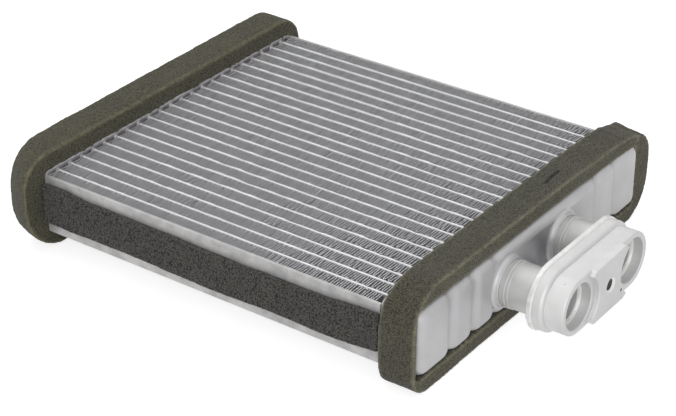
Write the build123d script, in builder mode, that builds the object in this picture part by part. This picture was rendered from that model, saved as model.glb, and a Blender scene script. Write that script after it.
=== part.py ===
from build123d import *
import os

# Automotive heater core, brazed aluminium, lying flat. Millimetres.
# +X runs along the flat tubes towards the two ports, +Y across the tubes, +Z up.
# The origin is at the centre of the underside of its bounding box.

# Core
tube_count = 22
tube_pitch = 7.5
tube_thickness = 1.8
tube_depth = 26.8
tube_wall = 0.3
tube_nose = 0.6
tube_stand_through = 1.0
core_length = 173.8
fin_set_back = 0.2
fin_foil = 0.3
fin_waves = 10
fin_end_gap = 3.4
fin_gap = 0.02
side_plate_thickness = 1.5
side_plate_cover = 0.1

# Header pans and tanks
header_thickness = 1.5
header_height = 31.4
header_rim = 4.0
header_rim_thickness = 1.1
header_corner = 3.0
braze_gap = 0.1
tank_depth = 19.2
tank_wall = 1.0
tank_swell = 0.9
swell_clearance = 0.5
tank_edge_round = 4.5
tank_end_round = 6.0
groove_width = 2.8
groove_pitch = 16.4
front_groove = 19.4
back_groove = 22.0
end_groove_count = 3
baffle_thickness = 1.5
baffle_gap = 0.1

# Stub pipes and port block
port_spacing = 42.9
port_offset = -3.6
pipe_diameter = 20.0
pipe_bore = 17.0
collar_diameter = 22.8
collar_length = 6.0
pipe_stand_in = 2.4
pipe_fit = 0.05
pipe_seat_depth = 3.0
neck_length = 17.4
block_rear_thickness = 2.7
block_rear_radius = 14.6
block_flange_thickness = 3.6
block_flange_radius = 14.1
block_flange_round = 1.4
boss_length = 9.7
boss_radius = 12.5
web_proud = 2.2
web_length = 29.0
web_height = 26.6
web_relief_radius = 14.0
port_diameter = 20.0
port_depth = 5.2
screw_hole_diameter = 5.0
screw_hole_depth = 14.0
screw_mouth_chamfer = 0.7

# Foam seals
foam_width = 15.0
foam_height = 47.0
foam_clearance = 0.1
left_foam_front = 12.6
left_foam_front_outer = 5.6
left_foam_back = 7.5
left_foam_corners = (24.0, 12.0, 14.0, 14.0)
left_foam_start = 0.2
right_foam_front = 2.7
right_foam_back = 10.5
right_foam_corners = (10.5, 17.0, 11.0, 20.0)
right_foam_start = 2.8
strip_thickness = 3.2
strip_width = 19.8
strip_drop = 0.3
strip_left_gap = 0.6
strip_right_gap = 0.8

# Places along X, from the left tank to the ports
block_length = block_rear_thickness + block_flange_thickness + boss_length + web_proud
total_length = 2 * tank_depth + core_length + neck_length + block_length
left_tank_x = -total_length / 2
left_header_x = left_tank_x + tank_depth
right_header_x = left_header_x + core_length
right_tank_x = right_header_x + tank_depth
block_x = right_tank_x + neck_length
flange_x = block_x + block_rear_thickness
boss_x = flange_x + block_flange_thickness
port_x = boss_x + boss_length
web_x = port_x + web_proud

# Places across Y, from the front foam to the back foam
fin_height = tube_pitch - tube_thickness
core_width = (tube_count + 1) * tube_pitch - tube_thickness + 2 * side_plate_thickness
foam_front_reach = max(left_foam_front, right_foam_front)
foam_back_reach = max(left_foam_back, right_foam_back)
total_width = foam_front_reach + core_width + foam_back_reach
front_y = -total_width / 2 + foam_front_reach
back_y = front_y + core_width
middle_y = (front_y + back_y) / 2
first_tube_y = front_y + side_plate_thickness - tube_thickness / 2 + tube_pitch
port_middle_y = middle_y + port_offset
front_port_y = port_middle_y - port_spacing / 2
back_port_y = port_middle_y + port_spacing / 2

# Heights
core_z = foam_height / 2
fin_depth = tube_depth - 2 * fin_set_back
side_plate_depth = tube_depth + 2 * side_plate_cover

# Sizes that fit inside one another
header_inner_height = header_height - 2 * header_rim_thickness
header_inner_width = core_width - 2 * header_rim_thickness
tank_height = header_inner_height - 2 * braze_gap
tank_width = header_inner_width - 2 * braze_gap
swell_height = tank_height + 2 * tank_swell
swell_width = tank_width + 2 * tank_swell
cavity_height = tank_height - 2 * tank_wall
cavity_width = tank_width - 2 * tank_wall
cavity_chamfer = tank_edge_round - tank_wall
tank_corner = header_corner - header_rim_thickness - braze_gap
tank_foot = header_thickness + braze_gap
swell_start = header_thickness + header_rim + swell_clearance
tube_length = core_length + 2 * (header_thickness + tube_stand_through)
tube_x = left_header_x - header_thickness - tube_stand_through

os.makedirs("parts", exist_ok=True)


def save(piece, name):
    piece.part.label = name
    export_step(piece.part, "parts/" + name + ".step")


# Flat tubes, hollow, with blunt noses on both faces of the core
for index in range(tube_count):
    tube_y = first_tube_y + index * tube_pitch
    with BuildPart() as tube:
        with BuildSketch(Plane.YZ.offset(tube_x)) as tube_section:
            with Locations((tube_y, core_z)):
                Rectangle(tube_thickness, tube_depth)
                chamfer(tube_section.vertices(), tube_nose)
                Rectangle(
                    tube_thickness - 2 * tube_wall,
                    tube_depth - 2 * tube_nose,
                    mode=Mode.SUBTRACT,
                )
        extrude(amount=tube_length)
    save(tube, f"tube_{index + 1:02d}")

# Corrugated fins, one strip of folded foil in each row between two tubes
fin_x = left_header_x + fin_end_gap
fin_length = core_length - 2 * fin_end_gap
half_wave = fin_length / (2 * fin_waves)
fin_rise = fin_height - 2 * fin_gap - fin_foil
for row in range(tube_count + 1):
    fin_y = first_tube_y - tube_pitch + tube_thickness / 2 + row * tube_pitch + fin_gap
    lower_edge = [
        (fin_x + step * half_wave, fin_y + fin_rise * (step % 2))
        for step in range(2 * fin_waves + 1)
    ]
    upper_edge = [(x, y + fin_foil) for x, y in reversed(lower_edge)]
    with BuildPart() as fin:
        with BuildSketch(Plane.XY.offset(core_z - fin_depth / 2)):
            with BuildLine():
                Polyline(*lower_edge, *upper_edge, close=True)
            make_face()
        extrude(amount=fin_depth)
    save(fin, f"fin_{row + 1:02d}")


# Header pans: a slotted floor that holds the tube ends, and a rim that takes the tank
def header(face_x, outward, name):
    with BuildPart() as pan:
        with BuildSketch(Plane.YZ.offset(face_x)):
            with Locations((middle_y, core_z)):
                RectangleRounded(core_width, header_height, header_corner)
        extrude(amount=outward * (header_thickness + header_rim))
        with BuildSketch(Plane.YZ.offset(face_x + outward * header_thickness)):
            with Locations((middle_y, core_z)):
                RectangleRounded(
                    header_inner_width,
                    header_inner_height,
                    header_corner - header_rim_thickness,
                )
        extrude(amount=outward * header_rim, mode=Mode.SUBTRACT)
        with BuildSketch(Plane.YZ.offset(face_x)):
            with Locations((middle_y, core_z)):
                with GridLocations(tube_pitch, 1, tube_count, 1):
                    Rectangle(tube_thickness, tube_depth)
        extrude(amount=outward * header_thickness, mode=Mode.SUBTRACT)
    save(pan, name)


header(left_header_x, -1, "left_header")
header(right_header_x, 1, "right_header")


# A drawn box: its far end is rounded in plan and in side view, its section has small corners
def drawn_box(start_x, end_x, width, height, end_round, edge_round, corner):
    far = -1 if end_x > start_x else 0
    with BuildPart() as box:
        with BuildSketch(Plane.XY.offset(core_z)) as plan:
            with Locations(((start_x + end_x) / 2, middle_y)):
                Rectangle(abs(end_x - start_x), width)
            fillet(plan.vertices().group_by(Axis.X)[far], end_round)
        extrude(amount=height / 2, both=True)
        with BuildSketch(Plane.XZ.offset(-middle_y)) as side:
            with Locations(((start_x + end_x) / 2, core_z)):
                Rectangle(abs(end_x - start_x), height)
            fillet(side.vertices().group_by(Axis.X)[far], edge_round)
        extrude(amount=width / 2, both=True, mode=Mode.INTERSECT)
        with BuildSketch(Plane.YZ.offset(start_x)):
            with Locations((middle_y, core_z)):
                RectangleRounded(width, height, corner)
        extrude(amount=end_x - start_x, mode=Mode.INTERSECT)
    return box.part


# Tank cover: drawn sheet that sits in the header rim and swells out between cross grooves
def tank_cover(header_x, outward, grooves):
    foot_x = header_x + outward * tank_foot
    swell_x = header_x + outward * swell_start
    face_x = header_x + outward * tank_depth
    groove_x = face_x - outward * tank_swell
    cavity_x = groove_x - outward * tank_wall
    swell_end_round = tank_end_round + tank_swell
    swell_edge_round = tank_edge_round + tank_swell
    with BuildPart() as swell:
        add(
            drawn_box(
                swell_x, face_x, swell_width, swell_height,
                swell_end_round, swell_edge_round, tank_corner + tank_swell,
            )
        )
        for groove_y in grooves:
            with Locations((face_x, groove_y, core_z)):
                Box(2 * tank_depth, groove_width, 2 * swell_height, mode=Mode.SUBTRACT)
    with BuildPart() as cavity:
        with BuildSketch(Plane.YZ.offset(foot_x)):
            with Locations((middle_y, core_z)):
                Rectangle(cavity_width, cavity_height)
        extrude(amount=cavity_x - foot_x)
        chamfer(cavity.edges().group_by(Axis.X)[-1 if outward > 0 else 0], cavity_chamfer)
    with BuildPart() as cover:
        add(
            drawn_box(
                foot_x, groove_x, tank_width, tank_height,
                tank_end_round, tank_edge_round, tank_corner,
            )
        )
        add(swell.part)
        add(cavity.part, mode=Mode.SUBTRACT)
    return cover.part


end_grooves = [front_y + front_groove + step * groove_pitch for step in range(end_groove_count)]
end_grooves += [back_y - back_groove - step * groove_pitch for step in range(end_groove_count - 1)]
with BuildPart() as return_tank:
    add(tank_cover(left_header_x, -1, end_grooves))
save(return_tank, "return_tank")

# The port tank is the same cover with two drawn collars that hold the pipes
collar_root_x = right_tank_x - tank_swell
with BuildPart() as port_tank:
    add(tank_cover(right_header_x, 1, end_grooves))
    with BuildSketch(Plane.YZ.offset(collar_root_x)):
        with Locations((front_port_y, core_z), (back_port_y, core_z)):
            Circle(collar_diameter / 2)
    extrude(amount=tank_swell + collar_length)
    with BuildSketch(Plane.YZ.offset(right_tank_x + collar_length)):
        with Locations((front_port_y, core_z), (back_port_y, core_z)):
            Circle(pipe_diameter / 2 + pipe_fit)
    extrude(amount=-(collar_length + pipe_stand_in + tank_wall), mode=Mode.SUBTRACT)
save(port_tank, "port_tank")

# Baffle: the wall inside the port tank that parts the inlet half from the outlet half
baffle_start = right_header_x + header_thickness + baffle_gap
baffle_end = right_tank_x - tank_swell - tank_wall - baffle_gap
with BuildPart() as baffle:
    with BuildSketch(Plane.XZ.offset(-middle_y)) as outline:
        with Locations(((baffle_start + baffle_end) / 2, core_z)):
            Rectangle(baffle_end - baffle_start, cavity_height - 2 * baffle_gap)
        chamfer(outline.vertices().group_by(Axis.X)[-1], cavity_chamfer)
    extrude(amount=baffle_thickness / 2, both=True)
save(baffle, "tank_baffle")

# Side plates close the first and last fin rows between the two header pans
for plate_y, inward, name in ((front_y, 1, "front_side_plate"), (back_y, -1, "back_side_plate")):
    with BuildPart() as plate:
        with BuildSketch(Plane.XZ.offset(-plate_y)):
            with Locations(((left_header_x + right_header_x) / 2, core_z)):
                Rectangle(core_length, side_plate_depth)
        extrude(amount=-inward * side_plate_thickness)
    save(plate, name)

# Stub pipes: plain tubes from the tank collars into the sockets of the port block
pipe_start = right_tank_x - pipe_stand_in
pipe_end = block_x + pipe_seat_depth
for pipe_y, name in ((front_port_y, "front_pipe"), (back_port_y, "back_pipe")):
    with BuildPart() as pipe:
        with BuildSketch(Plane.YZ.offset(pipe_start)):
            with Locations((pipe_y, core_z)):
                Circle(pipe_diameter / 2)
                Circle(pipe_bore / 2, mode=Mode.SUBTRACT)
        extrude(amount=pipe_end - pipe_start)
    save(pipe, name)

# Port block: a stepped oval flange, an oval neck, and a proud web round the fixing screw hole
port_floor_x = port_x - port_depth
water_way_z = core_z + pipe_bore / 2
socket_z = core_z + pipe_diameter / 2 + pipe_fit
port_z = core_z + port_diameter / 2
screw_z = core_z + screw_hole_diameter / 2
with BuildPart() as block:
    with BuildSketch(Plane.YZ.offset(flange_x)):
        with Locations((port_middle_y, core_z)):
            SlotCenterToCenter(port_spacing, 2 * block_flange_radius)
    extrude(amount=block_flange_thickness)
    chamfer(block.edges().group_by(Axis.X)[-1], block_flange_round)
    with BuildSketch(Plane.YZ.offset(block_x)):
        with Locations((port_middle_y, core_z)):
            SlotCenterToCenter(port_spacing, 2 * block_rear_radius)
    extrude(amount=block_rear_thickness)
    with BuildSketch(Plane.YZ.offset(flange_x)):
        with Locations((port_middle_y, core_z)):
            SlotCenterToCenter(port_spacing, 2 * boss_radius)
            Rectangle(web_length, web_height)
    extrude(amount=port_x - flange_x)
    with BuildSketch(Plane.YZ.offset(port_x)):
        with Locations((port_middle_y, core_z)):
            Rectangle(web_length, web_height)
        with Locations((front_port_y, core_z), (back_port_y, core_z)):
            Circle(web_relief_radius, mode=Mode.SUBTRACT)
    extrude(amount=web_proud)
    with BuildSketch(Plane.XZ.offset(-port_middle_y)):
        with BuildLine():
            Polyline(
                (web_x, core_z),
                (web_x, screw_z + screw_mouth_chamfer),
                (web_x - screw_mouth_chamfer, screw_z),
                (web_x - screw_hole_depth, screw_z),
                (web_x - screw_hole_depth, core_z),
                close=True,
            )
        make_face()
    revolve(axis=Axis((0, port_middle_y, core_z), (1, 0, 0)), mode=Mode.SUBTRACT)
    for hole_y in (front_port_y, back_port_y):
        with BuildSketch(Plane.XZ.offset(-hole_y)):
            with BuildLine():
                Polyline(
                    (block_x, core_z),
                    (block_x, socket_z),
                    (pipe_end, socket_z),
                    (pipe_end, water_way_z),
                    (port_floor_x, water_way_z),
                    (port_floor_x, port_z),
                    (port_x, port_z),
                    (port_x, core_z),
                    close=True,
                )
            make_face()
        revolve(axis=Axis((0, hole_y, core_z), (1, 0, 0)), mode=Mode.SUBTRACT)
save(block, "port_block")


# Foam seals: a strip wrapped round each tank, and one along the front side plate
def foam_outline(x, front_reach, back_reach, corners):
    front = front_y - front_reach
    back = back_y + back_reach
    top = 2 * core_z
    with BuildSketch(Plane.YZ.offset(x)) as outline:
        with Locations(((front + back) / 2, core_z)):
            Rectangle(back - front, top)
        for place, radius in zip(((front, 0), (front, top), (back, top), (back, 0)), corners):
            fillet(outline.vertices().sort_by_distance(place)[0], radius)
    return outline.sketch


def foam_opening(x):
    with BuildSketch(Plane.YZ.offset(x)) as opening:
        with Locations((middle_y, core_z)):
            RectangleRounded(
                core_width + 2 * foam_clearance,
                header_height + 2 * foam_clearance,
                header_corner + foam_clearance,
            )
    return opening.sketch


left_foam_x = left_header_x - left_foam_start
with BuildPart() as left_foam:
    add(foam_outline(left_foam_x, left_foam_front, left_foam_back, left_foam_corners))
    add(
        foam_outline(
            left_foam_x - foam_width, left_foam_front_outer, left_foam_back, left_foam_corners
        )
    )
    loft()
    extrude(foam_opening(left_foam_x), amount=-foam_width, mode=Mode.SUBTRACT)
save(left_foam, "left_foam")

right_foam_x = right_header_x + right_foam_start
with BuildPart() as right_foam:
    ring = foam_outline(right_foam_x, right_foam_front, right_foam_back, right_foam_corners)
    extrude(ring, amount=foam_width)
    extrude(foam_opening(right_foam_x), amount=foam_width, mode=Mode.SUBTRACT)
save(right_foam, "right_foam")

strip_start = left_header_x + strip_left_gap
strip_end = right_foam_x - strip_right_gap
with BuildPart() as strip:
    with BuildSketch(Plane.XZ.offset(-front_y)):
        with Locations(((strip_start + strip_end) / 2, core_z - strip_drop)):
            Rectangle(strip_end - strip_start, strip_width)
    extrude(amount=strip_thickness)
save(strip, "front_foam")
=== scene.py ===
# %% [markdown]
# # A heater core, dressed over its CAD frame
# A heater core is the small radiator that warms the cabin of a car. Hot coolant comes in through one
# port, runs along half of the flat tubes, turns round in the far tank and comes back through the other
# half. Folded foil between the tubes gives the heat to the air. Everything metal on it is aluminium,
# brazed together in one go in a furnace, and three strips of foam seal it in its box.
#
# The CAD model gives every piece its place. This lesson keeps the plain metal pieces, and makes the
# folded foil, the drawn tanks, the port block and the foam again with the detail that only a picture
# needs.

# %% Open the CAD frame
import math

import bmesh
import bpy
from mathutils import Matrix, Quaternion, Vector, noise


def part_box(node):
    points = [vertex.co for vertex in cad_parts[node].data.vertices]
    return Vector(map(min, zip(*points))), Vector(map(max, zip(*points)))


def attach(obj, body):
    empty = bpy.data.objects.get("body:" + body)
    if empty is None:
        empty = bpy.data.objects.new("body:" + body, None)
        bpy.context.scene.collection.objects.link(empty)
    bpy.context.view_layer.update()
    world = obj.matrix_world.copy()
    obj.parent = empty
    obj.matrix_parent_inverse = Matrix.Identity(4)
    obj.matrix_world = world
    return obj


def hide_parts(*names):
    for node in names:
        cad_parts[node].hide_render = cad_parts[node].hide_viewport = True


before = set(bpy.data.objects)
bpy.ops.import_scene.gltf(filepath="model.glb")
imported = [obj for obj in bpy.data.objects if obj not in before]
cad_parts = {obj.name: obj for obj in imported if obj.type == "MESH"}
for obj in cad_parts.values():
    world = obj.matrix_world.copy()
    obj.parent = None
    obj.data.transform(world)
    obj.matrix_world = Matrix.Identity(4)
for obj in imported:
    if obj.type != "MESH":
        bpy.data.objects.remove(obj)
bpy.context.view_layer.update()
mm = 0.001
print("CAD pieces:", len(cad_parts))

# %% [markdown]
# The pieces are sized in millimetres and turned into metres as they are made. The places below are the
# ones that the pieces share: the faces of the two header pans, the middle of the core, and the two port
# axes. They are read from the CAD pieces where a box gives them.

# %% Shared places, in millimetres
low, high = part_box("front_side_plate")
left_header_x, right_header_x = low.x / mm, high.x / mm
front_y = low.y / mm
back_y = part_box("back_side_plate")[1].y / mm
middle_y = (front_y + back_y) / 2
core_z = (low.z + high.z) / 2 / mm
front_port_y = sum(corner.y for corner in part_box("front_pipe")) / 2 / mm
back_port_y = sum(corner.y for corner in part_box("back_pipe")) / 2 / mm
port_middle_y = (front_port_y + back_port_y) / 2
half_spacing = (back_port_y - front_port_y) / 2
block_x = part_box("port_block")[0].x / mm
web_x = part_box("port_block")[1].x / mm
ports = (front_port_y, back_port_y)
tank_depth = 19.2
tank_face_x = right_header_x + tank_depth
tube_count = 22
tube_pitch = (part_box("tube_02")[0].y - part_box("tube_01")[0].y) / mm
first_tube_y = sum(corner.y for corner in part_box("tube_01")) / 2 / mm
print("header faces", round(left_header_x, 2), round(right_header_x, 2), "tube pitch", round(tube_pitch, 2))

# %% [markdown]
# ## The studio
# The photograph is taken from the front right, about thirty degrees above the table, with a long lens.
# The camera is placed by matching known points of the object, such as the ends of the tubes, to their
# places in the picture.

# %% Camera
camera_data = bpy.data.cameras.new("photo_camera")
camera_data.sensor_width = 36.0
camera_data.lens = 106.1
camera = bpy.data.objects.new("photo_camera", camera_data)
bpy.context.scene.collection.objects.link(camera)
camera_place = Vector((432.0, -613.2, 448.1)) * mm
camera_target = Vector((-1.0, -16.2, 23.5)) * mm
aim = (camera_target - camera_place).to_track_quat("-Z", "Y")
roll = Quaternion((0.0, 0.0, 1.0), math.radians(-0.12))
camera.matrix_world = Matrix.Translation(camera_place) @ (aim @ roll).to_matrix().to_4x4()
bpy.context.scene.camera = camera
bpy.context.scene.view_settings.view_transform = "Standard"
print("camera is", round((camera_target - camera_place).length, 3), "m from the core")

# %% [markdown]
# The light is a wide soft box above the object, a second one beside the camera, and an even sky. The sky
# looks white to the camera and in reflections, but lights dull surfaces less, so the foam keeps its
# shading. The floor is pale and keeps the shadow under the object.


# %% Sky
def add_math(nodes, links, operation, first, second):
    step = nodes.new("ShaderNodeMath")
    step.operation = operation
    for slot, value in enumerate((first, second)):
        if isinstance(value, (int, float)):
            step.inputs[slot].default_value = value
        else:
            links.new(value, step.inputs[slot])
    return step.outputs[0]


def rays_that_see_white(nodes, links):
    path = nodes.new("ShaderNodeLightPath")
    seen = add_math(nodes, links, "MAXIMUM", path.outputs["Is Camera Ray"], path.outputs["Is Glossy Ray"])
    return add_math(nodes, links, "MAXIMUM", seen, path.outputs["Is Transmission Ray"])


def white_sky(sky_light, seen_light):
    world = bpy.data.worlds.new("studio_sky")
    bpy.context.scene.world = world
    world.use_nodes = True
    nodes, links = world.node_tree.nodes, world.node_tree.links
    background = nodes["Background"]
    background.inputs["Color"].default_value = (1.0, 1.0, 1.0, 1.0)
    strength = nodes.new("ShaderNodeMapRange")
    strength.inputs["To Min"].default_value = sky_light
    strength.inputs["To Max"].default_value = seen_light
    links.new(rays_that_see_white(nodes, links), strength.inputs["Value"])
    links.new(strength.outputs["Result"], background.inputs["Strength"])


white_sky(sky_light=0.36, seen_light=1.0)
print("sky:", bpy.context.scene.world.name)


# %% Lamps
def soft_box(name, place, target, width, power):
    lamp_data = bpy.data.lights.new(name, "AREA")
    lamp_data.shape = "SQUARE"
    lamp_data.size = width
    lamp_data.energy = power
    lamp = bpy.data.objects.new(name, lamp_data)
    bpy.context.scene.collection.objects.link(lamp)
    lamp.location = place
    lamp.rotation_euler = (Vector(target) - Vector(place)).to_track_quat("-Z", "Y").to_euler()


soft_box("top_box", place=(-0.35, 0.35, 1.6), target=(0.0, 0.0, 0.0), width=2.4, power=11.6)
soft_box("side_box", place=(0.75, -1.45, 0.75), target=(0.0, 0.0, 0.0), width=1.5, power=13.2)
print("lamps:", [item.name for item in bpy.data.lights])

# %% Floor
floor_bm = bmesh.new()
bmesh.ops.create_grid(floor_bm, x_segments=1, y_segments=1, size=4.0)
floor_mesh = bpy.data.meshes.new("floor")
floor_bm.to_mesh(floor_mesh)
floor_bm.free()
floor = bpy.data.objects.new("floor", floor_mesh)
bpy.context.scene.collection.objects.link(floor)
floor_material = bpy.data.materials.new("floor_white")
floor_material.use_nodes = True
floor_nodes, floor_links = floor_material.node_tree.nodes, floor_material.node_tree.links
floor_shader = floor_nodes["Principled BSDF"]
floor_shader.inputs["Base Color"].default_value = (0.60, 0.60, 0.60, 1.0)
floor_shader.inputs["Roughness"].default_value = 0.9
floor_shader.inputs["Emission Color"].default_value = (1.0, 1.0, 1.0, 1.0)
floor_seen = rays_that_see_white(floor_nodes, floor_links)
floor_glow = add_math(floor_nodes, floor_links, "MULTIPLY", floor_seen, 0.76)
floor_links.new(floor_glow, floor_shader.inputs["Emission Strength"])
floor_mesh.materials.append(floor_material)
print("floor:", round(floor.dimensions.x, 1), "m wide")

# %% [markdown]
# ## Finishes
# Four effects come back in several finishes, so each is a node group that is built once: the cloudy,
# slightly grainy surface of furnace-brazed metal, the brighter edge, which on the metals is partly metal
# that is rubbed or cut and partly a painted highlight where an edge catches the light, and on the foam is
# all painted highlight, the open cells of foam, and painted light or shade on the faces that look one way,
# such as painted shade on the sides of a tube. A group only gives colours, masks and heights, and the
# shader itself stays in each material.


# %% Start of a node group
def effect_group(name, inputs, outputs):
    group = bpy.data.node_groups.new(name, "ShaderNodeTree")
    for label, kind, value in inputs:
        socket = group.interface.new_socket(name=label, in_out="INPUT", socket_type=kind)
        socket.default_value = value
    for label, kind in outputs:
        group.interface.new_socket(name=label, in_out="OUTPUT", socket_type=kind)
    group_in = group.nodes.new("NodeGroupInput")
    group_out = group.nodes.new("NodeGroupOutput")
    return group, group.nodes, group.links, group_in, group_out


# %% Effect: brazed metal
def build_brazed_metal():
    group, nodes, links, group_in, group_out = effect_group(
        "brazed_metal",
        [
            ("Pale", "NodeSocketColor", (0.8, 0.8, 0.8, 1.0)),
            ("Dark", "NodeSocketColor", (0.6, 0.6, 0.6, 1.0)),
            ("Cloud Scale", "NodeSocketFloat", 60.0),
            ("Grain Scale", "NodeSocketFloat", 1500.0),
            ("Grain Share", "NodeSocketFloat", 0.3),
        ],
        [("Color", "NodeSocketColor"), ("Mask", "NodeSocketFloat"), ("Height", "NodeSocketFloat")],
    )
    place = nodes.new("ShaderNodeTexCoord")
    clouds = nodes.new("ShaderNodeTexNoise")
    clouds.inputs["Detail"].default_value = 4.0
    grain = nodes.new("ShaderNodeTexNoise")
    grain.inputs["Detail"].default_value = 2.0
    links.new(place.outputs["Object"], clouds.inputs["Vector"])
    links.new(place.outputs["Object"], grain.inputs["Vector"])
    links.new(group_in.outputs["Cloud Scale"], clouds.inputs["Scale"])
    links.new(group_in.outputs["Grain Scale"], grain.inputs["Scale"])
    spread = nodes.new("ShaderNodeMapRange")
    spread.inputs["From Min"].default_value = 0.35
    spread.inputs["From Max"].default_value = 0.65
    links.new(clouds.outputs["Fac"], spread.inputs["Value"])
    both = nodes.new("ShaderNodeMix")
    both.data_type = "FLOAT"
    links.new(group_in.outputs["Grain Share"], both.inputs[0])
    links.new(spread.outputs["Result"], both.inputs[2])
    links.new(grain.outputs["Fac"], both.inputs[3])
    tone = nodes.new("ShaderNodeMix")
    tone.data_type = "RGBA"
    links.new(both.outputs[0], tone.inputs[0])
    links.new(group_in.outputs["Dark"], tone.inputs[6])
    links.new(group_in.outputs["Pale"], tone.inputs[7])
    links.new(tone.outputs[2], group_out.inputs["Color"])
    links.new(both.outputs[0], group_out.inputs["Mask"])
    links.new(grain.outputs["Fac"], group_out.inputs["Height"])
    return group


brazed_metal = build_brazed_metal()
print("effect:", brazed_metal.name)


# %% Effect: bright edges
def build_bright_edges():
    group, nodes, links, group_in, group_out = effect_group(
        "bright_edges",
        [
            ("Color", "NodeSocketColor", (0.7, 0.7, 0.7, 1.0)),
            ("Edge Color", "NodeSocketColor", (0.95, 0.95, 0.95, 1.0)),
            ("Strength", "NodeSocketFloat", 0.6),
            ("Flat", "NodeSocketFloat", 0.52),
            ("Crisp", "NodeSocketFloat", 0.62),
        ],
        [("Color", "NodeSocketColor"), ("Mask", "NodeSocketFloat")],
    )
    # Brighter colour on sharp and rounded edges: partly rubbed or cut metal and partly a painted highlight
    # where an edge catches the light; on foam it is all painted highlight.
    shape = nodes.new("ShaderNodeNewGeometry")
    edge = nodes.new("ShaderNodeMapRange")
    links.new(group_in.outputs["Flat"], edge.inputs["From Min"])
    links.new(group_in.outputs["Crisp"], edge.inputs["From Max"])
    links.new(shape.outputs["Pointiness"], edge.inputs["Value"])
    place = nodes.new("ShaderNodeTexCoord")
    edge_patchiness = nodes.new("ShaderNodeTexNoise")
    edge_patchiness.inputs["Scale"].default_value = 240.0
    links.new(place.outputs["Object"], edge_patchiness.inputs["Vector"])
    edge_wear_and_highlight = add_math(nodes, links, "MULTIPLY", edge.outputs["Result"], edge_patchiness.outputs["Fac"])
    doubled = add_math(nodes, links, "MULTIPLY", edge_wear_and_highlight, 2.0)
    share = add_math(nodes, links, "MULTIPLY", doubled, group_in.outputs["Strength"])
    tone = nodes.new("ShaderNodeMix")
    tone.data_type = "RGBA"
    links.new(share, tone.inputs[0])
    links.new(group_in.outputs["Color"], tone.inputs[6])
    links.new(group_in.outputs["Edge Color"], tone.inputs[7])
    links.new(tone.outputs[2], group_out.inputs["Color"])
    links.new(share, group_out.inputs["Mask"])
    return group


bright_edges = build_bright_edges()
print("effect:", bright_edges.name)


# %% Effect: open cells of foam
def build_open_cells():
    group, nodes, links, group_in, group_out = effect_group(
        "open_cells",
        [
            ("Skin", "NodeSocketColor", (0.12, 0.11, 0.08, 1.0)),
            ("Pore", "NodeSocketColor", (0.02, 0.02, 0.015, 1.0)),
            ("Cell Scale", "NodeSocketFloat", 900.0),
            ("Cloud Scale", "NodeSocketFloat", 90.0),
        ],
        [("Color", "NodeSocketColor"), ("Height", "NodeSocketFloat")],
    )
    place = nodes.new("ShaderNodeTexCoord")
    cells = nodes.new("ShaderNodeTexVoronoi")
    cells.feature = "F1"
    fibres = nodes.new("ShaderNodeTexNoise")
    fibres.inputs["Detail"].default_value = 5.0
    clouds = nodes.new("ShaderNodeTexNoise")
    for texture in (cells, fibres, clouds):
        links.new(place.outputs["Object"], texture.inputs["Vector"])
    links.new(group_in.outputs["Cell Scale"], cells.inputs["Scale"])
    links.new(group_in.outputs["Cell Scale"], fibres.inputs["Scale"])
    links.new(group_in.outputs["Cloud Scale"], clouds.inputs["Scale"])
    rough = add_math(nodes, links, "MULTIPLY", fibres.outputs["Fac"], 0.75)
    height = add_math(nodes, links, "ADD", rough, cells.outputs["Distance"])
    pores = nodes.new("ShaderNodeMapRange")
    pores.inputs["From Min"].default_value = 0.45
    pores.inputs["From Max"].default_value = 1.15
    pores.inputs["To Min"].default_value = 1.0
    pores.inputs["To Max"].default_value = 0.0
    links.new(height, pores.inputs["Value"])
    cloudy = add_math(nodes, links, "MULTIPLY", clouds.outputs["Fac"], 0.7)
    lifted = add_math(nodes, links, "ADD", cloudy, 0.65)
    shade = add_math(nodes, links, "MULTIPLY", pores.outputs["Result"], lifted)
    tone = nodes.new("ShaderNodeMix")
    tone.data_type = "RGBA"
    links.new(shade, tone.inputs[0])
    links.new(group_in.outputs["Pore"], tone.inputs[6])
    links.new(group_in.outputs["Skin"], tone.inputs[7])
    links.new(tone.outputs[2], group_out.inputs["Color"])
    links.new(pores.outputs["Result"], group_out.inputs["Height"])
    return group


open_cells = build_open_cells()
print("effect:", open_cells.name)


# %% Effect: painted light and shade on what faces one way
def build_painted_facing_light():
    group, nodes, links, group_in, group_out = effect_group(
        "painted_facing_light",
        [
            ("Color", "NodeSocketColor", (0.7, 0.7, 0.7, 1.0)),
            ("Tint", "NodeSocketColor", (0.5, 0.5, 0.5, 1.0)),
            ("Direction", "NodeSocketVector", (0.0, 0.0, 1.0)),
            ("Start", "NodeSocketFloat", 0.5),
            ("Full", "NodeSocketFloat", 0.9),
        ],
        [("Color", "NodeSocketColor"), ("Mask", "NodeSocketFloat")],
    )
    place = nodes.new("ShaderNodeTexCoord")
    facing = nodes.new("ShaderNodeVectorMath")
    facing.operation = "DOT_PRODUCT"
    links.new(place.outputs["Normal"], facing.inputs[0])
    links.new(group_in.outputs["Direction"], facing.inputs[1])
    either_way = add_math(nodes, links, "ABSOLUTE", facing.outputs["Value"], 0.0)
    mask = nodes.new("ShaderNodeMapRange")
    links.new(group_in.outputs["Start"], mask.inputs["From Min"])
    links.new(group_in.outputs["Full"], mask.inputs["From Max"])
    links.new(either_way, mask.inputs["Value"])
    tone = nodes.new("ShaderNodeMix")
    tone.data_type = "RGBA"
    tone.blend_type = "MULTIPLY"
    links.new(mask.outputs["Result"], tone.inputs[0])
    links.new(group_in.outputs["Color"], tone.inputs[6])
    links.new(group_in.outputs["Tint"], tone.inputs[7])
    links.new(tone.outputs[2], group_out.inputs["Color"])
    links.new(mask.outputs["Result"], group_out.inputs["Mask"])
    return group


painted_facing_light = build_painted_facing_light()


def base_colour(material):
    nodes, links = material.node_tree.nodes, material.node_tree.links
    base = nodes["Principled BSDF"].inputs["Base Color"]
    return nodes, links, base, base.links[0].from_socket


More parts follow.
